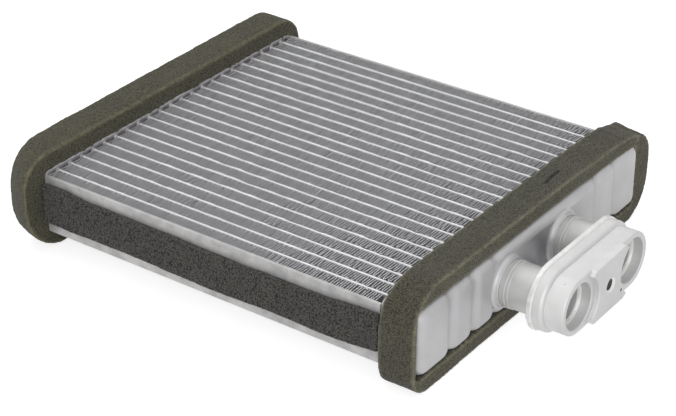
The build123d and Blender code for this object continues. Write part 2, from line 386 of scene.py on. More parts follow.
def paint_light_by_facing(material, tint, direction, start, full):
    nodes, links, base, before = base_colour(material)
    tinted = nodes.new("ShaderNodeGroup")
    tinted.node_tree = painted_facing_light
    tinted.inputs["Tint"].default_value = (*tint, 1.0)
    tinted.inputs["Direction"].default_value = direction
    tinted.inputs["Start"].default_value = start
    tinted.inputs["Full"].default_value = full
    links.new(before, tinted.inputs["Color"])
    links.new(tinted.outputs["Color"], base)


print("effect:", painted_facing_light.name)

# %% [markdown]
# Every metal finish here is the same aluminium in a different state. The tubes come out of the furnace
# bright, with painted shade on their flat sides. The foil gets painted shade on its faces and a painted
# highlight on its cut edge. The pressed pans and tanks are satin, and the block is blasted and then
# turned at its ports, where it is brightest; the near-black finish inside its screw hole and dimple is
# painted shade. So one function makes them all, and each finish has its own tones, roughness and grain.
# The scales count bumps in a metre.


# %% Metal finishes
def aluminium(
    name, pale, dark, shine, roughness, rough_spread, cloud_scale, grain_scale, grain_share, bump, edge
):
    material = bpy.data.materials.new(name)
    material.use_nodes = True
    nodes, links = material.node_tree.nodes, material.node_tree.links
    shader = nodes["Principled BSDF"]
    shader.inputs["Metallic"].default_value = shine
    surface = nodes.new("ShaderNodeGroup")
    surface.node_tree = brazed_metal
    surface.inputs["Pale"].default_value = (*pale, 1.0)
    surface.inputs["Dark"].default_value = (*dark, 1.0)
    surface.inputs["Cloud Scale"].default_value = cloud_scale
    surface.inputs["Grain Scale"].default_value = grain_scale
    surface.inputs["Grain Share"].default_value = grain_share
    edge_wear_and_highlight = nodes.new("ShaderNodeGroup")
    edge_wear_and_highlight.node_tree = bright_edges
    edge_wear_and_highlight.inputs["Strength"].default_value = edge
    edge_wear_and_highlight.inputs["Edge Color"].default_value = (0.93, 0.93, 0.92, 1.0)
    links.new(surface.outputs["Color"], edge_wear_and_highlight.inputs["Color"])
    links.new(edge_wear_and_highlight.outputs["Color"], shader.inputs["Base Color"])
    dull = nodes.new("ShaderNodeMapRange")
    dull.inputs["To Min"].default_value = roughness + rough_spread
    dull.inputs["To Max"].default_value = roughness - rough_spread
    links.new(surface.outputs["Mask"], dull.inputs["Value"])
    links.new(dull.outputs["Result"], shader.inputs["Roughness"])
    relief = nodes.new("ShaderNodeBump")
    relief.inputs["Strength"].default_value = bump
    relief.inputs["Distance"].default_value = 0.0001
    links.new(surface.outputs["Height"], relief.inputs["Height"])
    links.new(relief.outputs["Normal"], shader.inputs["Normal"])
    return material


tube_metal = aluminium(
    "bright_tube",
    pale=(0.97, 0.97, 0.97),
    dark=(0.86, 0.86, 0.87),
    shine=0.2, roughness=0.45, rough_spread=0.08, cloud_scale=260.0, grain_scale=900.0,
    grain_share=0.3, bump=0.25, edge=0.2,
)
# Painted shade on the flat sides of the tubes, so that only the noses stay bright.
paint_light_by_facing(tube_metal, (0.36, 0.36, 0.38), (0.0, 0.0, 1.0), 0.82, 0.62)
# Painted shade on the faces of the foil, down between the legs of the folds.
fin_painted_shade_metal = aluminium(
    "fin_foil",
    pale=(0.20, 0.202, 0.213),
    dark=(0.04, 0.041, 0.045),
    shine=0.4, roughness=0.46, rough_spread=0.10, cloud_scale=700.0, grain_scale=1400.0,
    grain_share=0.4, bump=0.2, edge=0.0,
)
# Painted highlight on the cut edge of the foil.
foil_edge_painted_highlight = aluminium(
    "fin_foil_edge",
    pale=(0.99, 0.99, 1.0),
    dark=(0.30, 0.301, 0.31),
    shine=0.2, roughness=0.48, rough_spread=0.10, cloud_scale=820.0, grain_scale=1500.0,
    grain_share=0.15, bump=0.2, edge=0.0,
)
plate_metal = aluminium(
    "side_plate_sheet",
    pale=(0.49, 0.48, 0.475),
    dark=(0.33, 0.323, 0.325),
    shine=0.45, roughness=0.55, rough_spread=0.10, cloud_scale=120.0, grain_scale=1200.0,
    grain_share=0.4, bump=0.3, edge=0.2,
)
header_metal = aluminium(
    "header_sheet",
    pale=(0.55, 0.525, 0.54),
    dark=(0.30, 0.287, 0.31),
    shine=0.4, roughness=0.52, rough_spread=0.10, cloud_scale=420.0, grain_scale=1200.0,
    grain_share=0.35, bump=0.3, edge=0.35,
)
tank_metal = aluminium(
    "tank_sheet",
    pale=(0.635, 0.632, 0.642),
    dark=(0.555, 0.552, 0.565),
    shine=0.3, roughness=0.46, rough_spread=0.06, cloud_scale=45.0, grain_scale=1500.0,
    grain_share=0.3, bump=0.15, edge=0.15,
)
pipe_metal = aluminium(
    "pipe_tube",
    pale=(0.64, 0.64, 0.63),
    dark=(0.56, 0.56, 0.555),
    shine=0.4, roughness=0.46, rough_spread=0.06, cloud_scale=60.0, grain_scale=1500.0,
    grain_share=0.3, bump=0.12, edge=0.4,
)
block_metal = aluminium(
    "port_block_metal",
    pale=(0.72, 0.72, 0.715),
    dark=(0.66, 0.66, 0.663),
    shine=0.4, roughness=0.50, rough_spread=0.06, cloud_scale=60.0, grain_scale=1600.0,
    grain_share=0.4, bump=0.2, edge=0.2,
)
sheared_metal = aluminium(
    "sheared_plate_edge",
    pale=(0.92, 0.92, 0.90),
    dark=(0.66, 0.66, 0.655),
    shine=0.4, roughness=0.44, rough_spread=0.10, cloud_scale=380.0, grain_scale=1600.0,
    grain_share=0.4, bump=0.4, edge=0.5,
)
# Painted shade: a near-black finish for the inside of the screw hole and of the dimple.
painted_hole_shade = aluminium(
    "painted_hole_shade_metal",
    pale=(0.22, 0.22, 0.22),
    dark=(0.03, 0.03, 0.03),
    shine=0.4, roughness=0.45, rough_spread=0.10, cloud_scale=900.0, grain_scale=2400.0,
    grain_share=0.5, bump=0.3, edge=0.2,
)
turned_metal = aluminium(
    "turned_seat",
    pale=(0.97, 0.96, 0.93),
    dark=(0.84, 0.83, 0.80),
    shine=0.3, roughness=0.34, rough_spread=0.06, cloud_scale=300.0, grain_scale=1600.0,
    grain_share=0.4, bump=0.2, edge=0.3,
)

print("metals:", [item.name for item in bpy.data.materials if item.name != "floor_white"])

# %% [markdown]
# The tank gets painted shade between the two pipes: a soft oval mask on the Object coordinates darkens
# the tone there and fades out on the way to the pipes.


# %% Painted shade between the two pipes
def paint_shade_patch(material, centre, reach, tint):
    nodes, links, base, before = base_colour(material)
    place = nodes.new("ShaderNodeTexCoord")
    away = nodes.new("ShaderNodeVectorMath")
    away.operation = "SUBTRACT"
    away.inputs[1].default_value = centre
    links.new(place.outputs["Object"], away.inputs[0])
    flat = nodes.new("ShaderNodeVectorMath")
    flat.operation = "DIVIDE"
    flat.inputs[1].default_value = reach
    links.new(away.outputs["Vector"], flat.inputs[0])
    size = nodes.new("ShaderNodeVectorMath")
    size.operation = "LENGTH"
    links.new(flat.outputs["Vector"], size.inputs[0])
    fade = nodes.new("ShaderNodeMapRange")
    fade.interpolation_type = "SMOOTHSTEP"
    fade.inputs["From Min"].default_value = 0.25
    fade.inputs["From Max"].default_value = 1.0
    fade.inputs["To Min"].default_value = 1.0
    fade.inputs["To Max"].default_value = 0.0
    links.new(size.outputs["Value"], fade.inputs["Value"])
    tone = nodes.new("ShaderNodeMix")
    tone.data_type = "RGBA"
    tone.blend_type = "MULTIPLY"
    tone.inputs[7].default_value = (*tint, 1.0)
    links.new(fade.outputs["Result"], tone.inputs[0])
    links.new(before, tone.inputs[6])
    links.new(tone.outputs[2], base)


paint_shade_patch(
    tank_metal,
    centre=(88.5 * mm, (port_middle_y - 1.0) * mm, (core_z + 1.0) * mm),
    reach=(9.0 * mm, 17.0 * mm, 15.0 * mm),
    tint=(0.60, 0.585, 0.61),
)
print("darkened between the pipes:", tank_metal.name)

# %% [markdown]
# The foam is an open-cell grade, olive grey on the two big seals and browner on the thin front strip. Its
# skin has been cut, so every pore is open and dark inside, and the cells are about two thirds of a
# millimetre across. The faces of the right seal that look along X get painted light, a lighter tint, and
# the rounded edges of the two big seals get a painted highlight.


# %% Foam finishes
def foam(name, skin, pore, cell_scale, bump, rim):
    material = bpy.data.materials.new(name)
    material.use_nodes = True
    nodes, links = material.node_tree.nodes, material.node_tree.links
    shader = nodes["Principled BSDF"]
    shader.inputs["Roughness"].default_value = 0.95
    shader.inputs["Specular IOR Level"].default_value = 0.15
    shader.inputs["Sheen Weight"].default_value = 0.15
    shader.inputs["Sheen Roughness"].default_value = 0.6
    surface = nodes.new("ShaderNodeGroup")
    surface.node_tree = open_cells
    surface.inputs["Skin"].default_value = (*skin, 1.0)
    surface.inputs["Pore"].default_value = (*pore, 1.0)
    surface.inputs["Cell Scale"].default_value = cell_scale
    # Painted highlight along the rounded edges of the foam.
    edge_wear_and_highlight = nodes.new("ShaderNodeGroup")
    edge_wear_and_highlight.node_tree = bright_edges
    edge_wear_and_highlight.inputs["Strength"].default_value = rim
    edge_wear_and_highlight.inputs["Flat"].default_value = 0.51
    edge_wear_and_highlight.inputs["Crisp"].default_value = 0.57
    edge_wear_and_highlight.inputs["Edge Color"].default_value = (skin[0] * 1.55, skin[1] * 1.55, skin[2] * 1.6, 1.0)
    links.new(surface.outputs["Color"], edge_wear_and_highlight.inputs["Color"])
    links.new(edge_wear_and_highlight.outputs["Color"], shader.inputs["Base Color"])
    relief = nodes.new("ShaderNodeBump")
    relief.inputs["Strength"].default_value = bump
    relief.inputs["Distance"].default_value = 0.0004
    links.new(surface.outputs["Height"], relief.inputs["Height"])
    links.new(relief.outputs["Normal"], shader.inputs["Normal"])
    return material


left_foam_skin = foam(
    "left_foam_cells",
    skin=(0.157, 0.148, 0.090),
    pore=(0.036, 0.034, 0.022),
    cell_scale=1500.0, bump=0.5, rim=0.75,
)
right_foam_skin = foam(
    "right_foam_cells",
    skin=(0.158, 0.149, 0.104),
    pore=(0.036, 0.034, 0.024),
    cell_scale=1650.0, bump=0.5, rim=0.8,
)
front_foam_skin = foam(
    "front_foam_cells",
    skin=(0.142, 0.133, 0.121),
    pore=(0.016, 0.015, 0.014),
    cell_scale=1450.0, bump=0.7, rim=0.0,
)
# Painted light: the faces of the right seal that look along X are made lighter.
paint_light_by_facing(right_foam_skin, (1.42, 1.42, 1.34), (1.0, 0.0, 0.0), 0.5, 0.85)
print("foams:", [item.name for item in bpy.data.materials if "foam" in item.name])

# %% [markdown]
# The top of the right seal has a short knife slit near the second port. It is painted shade in the
# finish, a near-black line: three masks on the Object coordinates give its width, its length and the side
# that it is on.


# %% Knife slit in the right seal
def knife_slit(material, start, end, width, above, soft=0.2 * mm):
    nodes, links, base, before = base_colour(material)
    place = nodes.new("ShaderNodeTexCoord")
    parts = nodes.new("ShaderNodeSeparateXYZ")
    links.new(place.outputs["Object"], parts.inputs["Vector"])
    slope = (end[0] - start[0]) / (end[1] - start[1])
    along = add_math(nodes, links, "SUBTRACT", parts.outputs["Y"], (start[1] + end[1]) / 2)
    lean = add_math(nodes, links, "MULTIPLY", along, slope)
    bend = add_math(nodes, links, "MULTIPLY", along, along)
    bow = add_math(nodes, links, "MULTIPLY", bend, 14.0)
    path = add_math(nodes, links, "ADD", lean, bow)
    middle = add_math(nodes, links, "ADD", path, (start[0] + end[0]) / 2)
    across = add_math(nodes, links, "SUBTRACT", parts.outputs["X"], middle)
    masks = []
    for value, half in ((across, width / 2), (along, (end[1] - start[1]) / 2)):
        size = add_math(nodes, links, "ABSOLUTE", value, 0.0)
        fade = nodes.new("ShaderNodeMapRange")
        fade.inputs["From Min"].default_value = half - soft
        fade.inputs["From Max"].default_value = half + soft
        fade.inputs["To Min"].default_value = 1.0
        fade.inputs["To Max"].default_value = 0.0
        links.new(size, fade.inputs["Value"])
        masks.append(fade.outputs["Result"])
    line = add_math(nodes, links, "MULTIPLY", masks[0], masks[1])
    on_top = add_math(nodes, links, "GREATER_THAN", parts.outputs["Z"], above)
    cut = add_math(nodes, links, "MULTIPLY", line, on_top)
    tone = nodes.new("ShaderNodeMix")
    tone.data_type = "RGBA"
    # Painted shade: near-black where the slit is.
    tone.inputs[7].default_value = (0.006, 0.005, 0.004, 1.0)
    links.new(cut, tone.inputs[0])
    links.new(before, tone.inputs[6])
    links.new(tone.outputs[2], base)


slit_start, slit_end = (79.7 * mm, 17.8 * mm), (78.7 * mm, 30.8 * mm)
knife_slit(right_foam_skin, slit_start, slit_end, width=1.5 * mm, above=43.0 * mm)
print("knife slit:", round((slit_end[1] - slit_start[1]) / mm, 1), "mm long")

# %% [markdown]
# ## Ways to make a piece
# Most of this object is made of outlines that run along X: a foam ring, an oval flange, a flat tube. So
# the same few helpers serve all of them. One turns a finished bmesh into a piece of the part, one spins a
# profile round a port axis, and one joins a row of outlines, each a little smaller than the last, into a
# body with a rounded edge. The smaller ones pick the edges that run along X, cut a mesh by a plane, and
# give sheet its wall.


# %% From a bmesh to a piece
def make_piece(name, bm, material, stands_for, sharp=40.0):
    mesh = bpy.data.meshes.new(name)
    bm.to_mesh(mesh)
    bm.free()
    mesh.materials.append(material)
    mesh.shade_smooth()
    mesh.set_sharp_from_angle(angle=math.radians(sharp))
    piece = bpy.data.objects.new(name, mesh)
    bpy.context.scene.collection.objects.link(piece)
    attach(piece, "root")
    if stands_for:
        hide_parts(*stands_for)
    return piece


def to_metres(bm):
    bmesh.ops.scale(bm, vec=(mm, mm, mm), verts=bm.verts)


def close_skin(bm, distance=0.0001):
    bmesh.ops.remove_doubles(bm, verts=bm.verts, dist=distance)
    bmesh.ops.recalc_face_normals(bm, faces=bm.faces)


def give_wall(piece, name, thickness, offset=-1.0):
    wall = piece.modifiers.new(name, "SOLIDIFY")
    wall.thickness = thickness * mm
    wall.offset = offset
    return wall


# %% Spin a profile of (x, radius) points round an axis along X
def spin_profile(bm, points, axis_y, segments=64, axis_z=core_z):
    corners = [bm.verts.new((x, axis_y, axis_z + radius)) for x, radius in points]
    edges = [bm.edges.new(pair) for pair in zip(corners, corners[1:])]
    bmesh.ops.spin(
        bm,
        geom=corners + edges,
        cent=(0.0, axis_y, axis_z),
        axis=(1.0, 0.0, 0.0),
        dvec=(0.0, 0.0, 0.0),
        angle=2 * math.pi,
        steps=segments,
        use_merge=True,
        use_duplicate=False,
    )


# %% Pick and cut parts of a bmesh
def verts_in(geometry):
    return [item for item in geometry if isinstance(item, bmesh.types.BMVert)]


def edges_along_x(bm):
    return [e for e in bm.edges if abs(e.verts[0].co.x - e.verts[1].co.x) > 1.0]


def cut_across(bm, point, direction):
    everything = bm.verts[:] + bm.edges[:] + bm.faces[:]
    bmesh.ops.bisect_plane(bm, geom=everything, plane_co=point, plane_no=direction)


def clamped(value):
    return max(0.0, min(1.0, value))


# %% Join a row of outlines into a skin
def edges_of(verts):
    inside = set(verts)
    return [edge for edge in {e for v in verts for e in v.link_edges} if set(edge.verts) <= inside]


def bridge_row(bm, outlines):
    for first, second in zip(outlines, outlines[1:]):
        bmesh.ops.bridge_loops(bm, edges=edges_of(first) + edges_of(second))


def rounded_steps(start_x, end_x, radius, steps=4):
    turn = [step * math.pi / 2 / steps for step in range(steps + 1)]
    away = 1.0 if end_x > start_x else -1.0
    rows = [(end_x - away * radius * (1 - math.sin(a)), radius * (1 - math.cos(a))) for a in turn]
    return [(start_x, 0.0)] + rows


print("helpers ready")

# %% [markdown]
# ## Flat tubes
# A flat tube is one strip of aluminium folded to a long oval with round noses. The noses are what the
# picture shows as bright lines. A circle is cut in two halves, the halves are moved apart, and the
# outline is drawn along X. Only the noses are uneven, because the braze metal that ran along them set in
# small knots: noise pinches, swells and shifts them by a few tenths of a millimetre. The Solidify
# modifier then gives the wall its 0.3 mm.


# %% Flat tubes
def flat_outline(bm, x, y, radius, depth, segments=16):
    turn = Matrix.Rotation(math.pi / 2, 4, "Y") @ Matrix.Rotation(math.pi / segments, 4, "Z")
    place = Matrix.Translation((x, y, core_z)) @ turn
    made = bmesh.ops.create_circle(bm, segments=segments, radius=radius, matrix=place)
    reach = depth / 2 - radius
    for side in (-1, 1):
        half = [v for v in made["verts"] if (v.co.z - core_z) * side > 0]
        bmesh.ops.translate(bm, verts=half, vec=(0.0, 0.0, side * reach))
    return made["verts"]


tube_radius, tube_depth = 0.9, 26.8
tube_low, tube_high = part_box("tube_01")
for index in range(tube_count):
    bm = bmesh.new()
    tube_y = first_tube_y + index * tube_pitch
    start = flat_outline(bm, tube_low.x / mm, tube_y, tube_radius, tube_depth)
    end = flat_outline(bm, tube_high.x / mm, tube_y, tube_radius, tube_depth)
    bridge_row(bm, [start, end])
    bmesh.ops.subdivide_edges(bm, edges=edges_along_x(bm), cuts=89, use_grid_fill=True)
    for v in bm.verts:
        nose = max(0.0, abs(v.co.z - core_z) - (tube_depth / 2 - tube_radius)) / tube_radius
        side = 1.0 if v.co.z > core_z else -1.0
        sway = noise.noise(Vector((v.co.x * 0.11, index * 5.3, side * 2.0)))
        knot = noise.noise(Vector((v.co.x * 0.50, index * 3.9, side * 7.0)))
        pinch = (v.co.y - tube_y) * (0.75 * knot - 0.22)
        v.co.y += (0.20 * sway + pinch) * min(1.0, nose)
        v.co.z += side * 0.18 * knot * nose
    bmesh.ops.recalc_face_normals(bm, faces=bm.faces)
    to_metres(bm)
    node = f"tube_{index + 1:02d}"
    tube = make_piece("flat_" + node, bm, tube_metal, [node])
    give_wall(tube, "wall", 0.3)
print("flat tubes:", tube_count)

# %% [markdown]
# ## Corrugated fins
# The fins are foil folded back and forth between two tubes, about seventy waves in each row. One wave is
# drawn as a line, copied along the row, and then pulled down through the depth of the core. A little
# noise leans each leg, as the folding rolls do, which keeps the rows from looking like a printed pattern.
# The faces of the foil get a dark finish that is painted shade, and its cut edge a pale finish that is a
# painted highlight.

# %% One row of folded foil
wave_length = 2.40
crest = 2.84
fin_depth = 26.4
one_wave = [(0.0, -crest), (0.34, -2.70), (0.52, -2.35), (0.68, 2.35), (0.86, 2.70)]
one_wave += [(wave_length / 2 + x, -y) for x, y in one_wave]


def folded_row(bm, start_x, end_x, y, seed):
    count = int((end_x - start_x) / wave_length)
    shift = (end_x - start_x - count * wave_length) * 0.3 * noise.random()
    points = [bm.verts.new((start_x + shift + x, y + dy, core_z - fin_depth / 2)) for x, dy in one_wave]
    for pair in zip(points, points[1:]):
        bm.edges.new(pair)
    first = list(bm.verts) + list(bm.edges)
    last_point = points[-1]
    for wave in range(1, count):
        copy = bmesh.ops.duplicate(bm, geom=first)
        moved = verts_in(copy["geom"])
        bmesh.ops.translate(bm, verts=moved, vec=(wave * wave_length, 0.0, 0.0))
        bm.edges.new((last_point, moved[0]))
        last_point = moved[-1]
    foil = bmesh.ops.extrude_edge_only(bm, edges=list(bm.edges))
    lifted = verts_in(foil["geom"])
    bmesh.ops.translate(bm, verts=lifted, vec=(0.0, 0.0, fin_depth))
    for v in bm.verts:
        lean = noise.noise(Vector((v.co.x * 0.35, seed * 7.3, v.co.z * 0.02)))
        fine = noise.noise(Vector((v.co.x * 1.9, seed * 3.1, v.co.y * 0.5)))
        v.co.x += 0.34 * lean + 0.48 * fine
        v.co.z += 0.10 * noise.noise(Vector((v.co.x * 0.6, seed * 1.7, v.co.z)))
    return count


noise.seed_set(7)
for row in range(tube_count + 1):
    bm = bmesh.new()
    row_y = first_tube_y + (row - 0.5) * tube_pitch
    waves = folded_row(bm, left_header_x + 0.5, right_header_x - 0.6, row_y, row + 1)
    to_metres(bm)
    node = f"fin_{row + 1:02d}"
    fin = make_piece("folded_" + node, bm, fin_painted_shade_metal, [node], sharp=60.0)
    foil = give_wall(fin, "foil", 0.40, offset=0.0)
    foil.material_offset_rim = 1
    fin.data.materials.append(foil_edge_painted_highlight)
print("folded rows:", tube_count + 1, "waves in a row:", waves)

# %% [markdown]
# ## Header pans
# A header pan is a shallow tray pressed from sheet: a floor with a slot for every tube, and a rim that
# takes the tank. It starts as one flat face with rounded corners, the rim is pulled up from its outline,
# the bend is rounded, and cutting planes mark the slots, whose faces are then taken out. The sheet gets
# its thickness last.


# %% Header pans
header_height, sheet_thickness = 31.4, 1.1


def header_pan(name, face_x, outward):
    bm = bmesh.new()
    upright = Matrix.Rotation(math.pi / 2, 4, "Y")
    bmesh.ops.create_grid(bm, x_segments=1, y_segments=1, size=0.5, matrix=upright)
    bmesh.ops.scale(bm, vec=(1.0, back_y - front_y, header_height), verts=bm.verts)
    bmesh.ops.translate(bm, verts=bm.verts, vec=(face_x, middle_y, core_z))
    corners = bm.verts[:]
    bmesh.ops.bevel(bm, geom=corners, offset=3.0, segments=5, profile=0.5, affect="VERTICES", material=-1)
    bend = bm.edges[:]
    rim = bmesh.ops.extrude_edge_only(bm, edges=bend)
    lifted = verts_in(rim["geom"])
    bmesh.ops.translate(bm, verts=lifted, vec=(outward * 5.5, 0.0, 0.0))
    bmesh.ops.bevel(bm, geom=bend, offset=1.4, segments=4, profile=0.5, affect="EDGES", material=-1)
    cuts = []
    for index in range(tube_count):
        slot_y = first_tube_y + index * tube_pitch
        cuts += [((0.0, slot_y + side * tube_radius, 0.0), (0, 1, 0)) for side in (-1, 1)]
    cuts += [((0.0, 0.0, core_z + side * tube_depth / 2), (0, 0, 1)) for side in (-1, 1)]
    for point, direction in cuts:
        cut_across(bm, point, direction)
    slots = []
    for face in bm.faces:
        centre = face.calc_center_median()
        along = (centre.y - first_tube_y + tube_pitch / 2) % tube_pitch - tube_pitch / 2
        inside = first_tube_y - 1 < centre.y < first_tube_y + (tube_count - 1) * tube_pitch + 1
        on_floor = abs(centre.x - face_x) < 0.01 and abs(centre.z - core_z) < tube_depth / 2
        if on_floor and inside and abs(along) < tube_radius:
            slots.append(face)
    bmesh.ops.delete(bm, geom=slots, context="FACES")
    bmesh.ops.recalc_face_normals(bm, faces=bm.faces)
    floor_face = min(bm.faces, key=lambda face: abs(face.calc_center_median().x - face_x))
    if floor_face.normal.x * outward > 0:
        bmesh.ops.reverse_faces(bm, faces=bm.faces)
    to_metres(bm)
    pan = make_piece(name + "_pan", bm, header_metal, [name])
    give_wall(pan, "sheet", sheet_thickness)
    return len(slots)


left_slots = header_pan("left_header", left_header_x, -1)
right_slots = header_pan("right_header", right_header_x, 1)
print("slots in each pan:", left_slots, right_slots)

# %% [markdown]
# Where a tube goes through its slot, the braze metal has run into the corner and set as a small concave
# ring. Each ring is four outlines round the tube, wide on the pan and tight on the tube.


# %% Braze rings
def braze_rings(name, face_x, inward):
    bm = bmesh.new()
    for index in range(tube_count):
        y = first_tube_y + index * tube_pitch
        rows = []
        for along, spread in ((0.0, 0.45), (0.15, 0.22), (0.4, 0.08), (0.9, 0.02)):
            radius, depth = tube_radius + spread, tube_depth + 2 * spread
            outline = flat_outline(bm, face_x + inward * along, y, radius, depth)
            for v in outline:
                wobble = noise.noise(Vector((index * 3.7, v.co.y * 0.9, v.co.z * 0.8)))
                v.co.x += inward * along * 0.9 * wobble
            rows.append(outline)
        bridge_row(bm, rows)
    bmesh.ops.recalc_face_normals(bm, faces=bm.faces)
    to_metres(bm)
    make_piece(name, bm, header_metal, [], sharp=80.0)


braze_rings("left_braze", left_header_x, 1)
braze_rings("right_braze", right_header_x, -1)
print("braze rings:", 2 * tube_count)

# %% [markdown]
# ## Drawn tanks
# Each tank cover is drawn from sheet in a press. It stands in the rim of its pan, swells out above the
# rim, and has five soft cross grooves that stiffen its ends. A block is rounded first, then cut into thin
# bands, and the bands at a groove are pushed in along their own normals, so the groove follows the round
# edges as the pressed one does.


# %% Tank covers
groove_reach, groove_bottom = 4.8, 1.35
foot_lift, rim_gap, swell, tank_wall = 1.6, 0.3, 0.9, 1.0


def groove_depth(y, grooves):
    nearest = min(abs(y - groove) for groove in grooves)
    if nearest > groove_reach:
        return 0.0
    return groove_bottom * (0.5 + 0.5 * math.cos(math.pi * nearest / groove_reach))


def drawn_cover(bm, header_x, outward, grooves):
    width, height = back_y - front_y - 2 * rim_gap, header_height - 2 * rim_gap
    foot_x = header_x + outward * foot_lift
    swell_x = header_x + outward * 6.0
    face_x = header_x + outward * tank_depth
    made = bmesh.ops.create_cube(bm, size=1.0)
    bmesh.ops.scale(bm, vec=(tank_depth - foot_lift, width, height), verts=made["verts"])
    bmesh.ops.translate(bm, verts=made["verts"], vec=((foot_x + face_x) / 2, middle_y, core_z))
    sides = edges_along_x(bm)
    bmesh.ops.bevel(bm, geom=sides, offset=5.6, segments=6, profile=0.5, affect="EDGES", material=-1)
    far = [e for e in bm.edges if all(abs(v.co.x - face_x) < 0.01 for v in e.verts)]
    bmesh.ops.bevel(bm, geom=far, offset=5.2, segments=7, profile=0.5, affect="EDGES", material=-1)
    foot = [f for f in bm.faces if all(abs(v.co.x - foot_x) < 0.01 for v in f.verts)]
    bmesh.ops.delete(bm, geom=foot, context="FACES")
    for groove in grooves:
        for step in range(-5, 6):
            cut_across(bm, (0.0, groove + groove_reach * step / 5, 0.0), (0, 1, 0))
    for above in (-0.2, 0.5, 1.6):
        cut_across(bm, (swell_x + outward * above, 0.0, 0.0), (1, 0, 0))
    bmesh.ops.recalc_face_normals(bm, faces=bm.faces)
    bm.normal_update()
    sample = max(bm.faces, key=lambda face: face.calc_area())
    if sample.normal.dot(sample.calc_center_median() - Vector((header_x, middle_y, core_z))) < 0:
        bmesh.ops.reverse_faces(bm, faces=bm.faces)
        bm.normal_update()
    push = {}
    for v in bm.verts:
        above = (v.co.x - swell_x) * outward
        depth = groove_depth(v.co.y, grooves)
        if above < 0.3:
            depth = swell
        elif above < 1.2:
            depth = max(depth, 0.25)
        push[v] = v.normal * depth
    for v, step in push.items():
        flat = Vector((0.0 if (v.co.x - swell_x) * outward < 3.0 else step.x, step.y, step.z))
        above = clamped((v.co.x - swell_x) * outward / 6.0)
        end = clamped((v.co.y - back_y + 13.0) / 13.0)
        v.co -= flat + Vector((0.0, 2.0 * above * end, 0.0))


groove_places = [front_y + 22.4, front_y + 38.8, front_y + 55.2, back_y - 22.0, back_y - 38.4]
for name, header_x, outward in (("return_tank", left_header_x, -1), ("port_tank", right_header_x, 1)):
    bm = bmesh.new()
    drawn_cover(bm, header_x, outward, groove_places)
    to_metres(bm)
    cover = make_piece(name + "_cover", bm, tank_metal, [name], sharp=50.0)
    if name == "port_tank":
        port_cover = cover
    else:
        give_wall(cover, "wall", tank_wall)
    print(name, "faces:", len(cover.data.polygons))

# %% [markdown]
# The port tank has two round holes with collars drawn outwards, and a pipe stands in each. The holes are
# cut with the Boolean modifier by two plain cylinders, and the cut mesh is kept. The collar is a spun
# profile that flares out of the sheet and has a rounded lip. Its root starts inside the tank, so no gap
# shows where a groove runs under it.


# %% Holes in the port tank
def bore_holes(piece, centres, radius, start_x, end_x):
    bm = bmesh.new()
    for y in centres:
        spin_profile(bm, [(start_x, 0.0), (start_x, radius), (end_x, radius), (end_x, 0.0)], y)
    close_skin(bm)
    to_metres(bm)
    mesh = bpy.data.meshes.new("cutter")
    bm.to_mesh(mesh)
    bm.free()
    cutter = bpy.data.objects.new("cutter", mesh)
    bpy.context.scene.collection.objects.link(cutter)
    give_wall(piece, "wall", tank_wall)
    cut = piece.modifiers.new("cut", "BOOLEAN")
    cut.operation = "DIFFERENCE"
    cut.solver = "EXACT"
    cut.object = cutter
    graph = bpy.context.evaluated_depsgraph_get()
    kept = bpy.data.meshes.new_from_object(piece.evaluated_get(graph))
    piece.modifiers.clear()
    piece.data = kept
    bpy.data.objects.remove(cutter)
    return len(kept.polygons)


bored = bore_holes(port_cover, ports, 10.6, tank_face_x - 6.0, tank_face_x + 4.0)
print("port tank faces after boring:", bored)

# %% Collars
pipe_radius, bore_radius = 10.0, 8.5
collar_bore = pipe_radius + 0.05
flare_deep, flare_high, lip_round = 1.9, 1.4, 0.4
lip_x, lip_radius = tank_face_x + 2.4, 10.8
root_x, root_radius = tank_face_x - flare_deep, lip_radius + flare_high
quarter = [step * math.pi / 2 / 6 for step in range(7)]
collar_profile = [(root_x, collar_bore), (root_x, root_radius)]
for a in quarter:
    flare_x = tank_face_x + flare_deep - flare_deep * math.cos(a)
    collar_profile.append((flare_x, root_radius - flare_high * math.sin(a)))
for a in quarter:
    round_x = lip_x - lip_round + lip_round * math.sin(a)
    collar_profile.append((round_x, lip_radius - lip_round + lip_round * math.cos(a)))
collar_profile += [(lip_x, collar_bore + 0.2), (lip_x - 0.15, collar_bore), (root_x, collar_bore)]
bm = bmesh.new()
for y in ports:
    spin_profile(bm, collar_profile, y)
close_skin(bm)
to_metres(bm)
make_piece("port_collars", bm, tank_metal, [])
print("collars:", len(ports), "lip at x", round(lip_x, 1))

# %% [markdown]
# ## Stub pipes
# The stub pipes are plain tube with two low rolled beads just outside the collar. A closed profile of
# both walls is spun, so each pipe is hollow and its end is seen inside the port.

# %% Stub pipes
pipe_start_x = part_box("front_pipe")[0].x / mm
pipe_end_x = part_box("front_pipe")[1].x / mm


def bead(centre_x, height, half_width):
    steps = [step * math.pi / 6 for step in range(7)]
    return [(centre_x - half_width * math.cos(a), pipe_radius + height * math.sin(a)) for a in steps]


pipe_profile = [(pipe_start_x, bore_radius), (pipe_start_x, pipe_radius)]
pipe_profile += bead(lip_x + 2.2, height=0.34, half_width=0.42)
pipe_profile += bead(lip_x + 3.8, height=0.30, half_width=0.38)
pipe_profile += [(pipe_end_x, pipe_radius), (pipe_end_x, bore_radius), (pipe_start_x, bore_radius)]
for node, y in zip(("front_pipe", "back_pipe"), ports):
    bm = bmesh.new()
    spin_profile(bm, pipe_profile, y)
    close_skin(bm)
    to_metres(bm)
    make_piece(node + "_tube", bm, pipe_metal, [node])
print("pipes:", len(ports), "from x", round(pipe_start_x, 1), "to", round(pipe_end_x, 1))

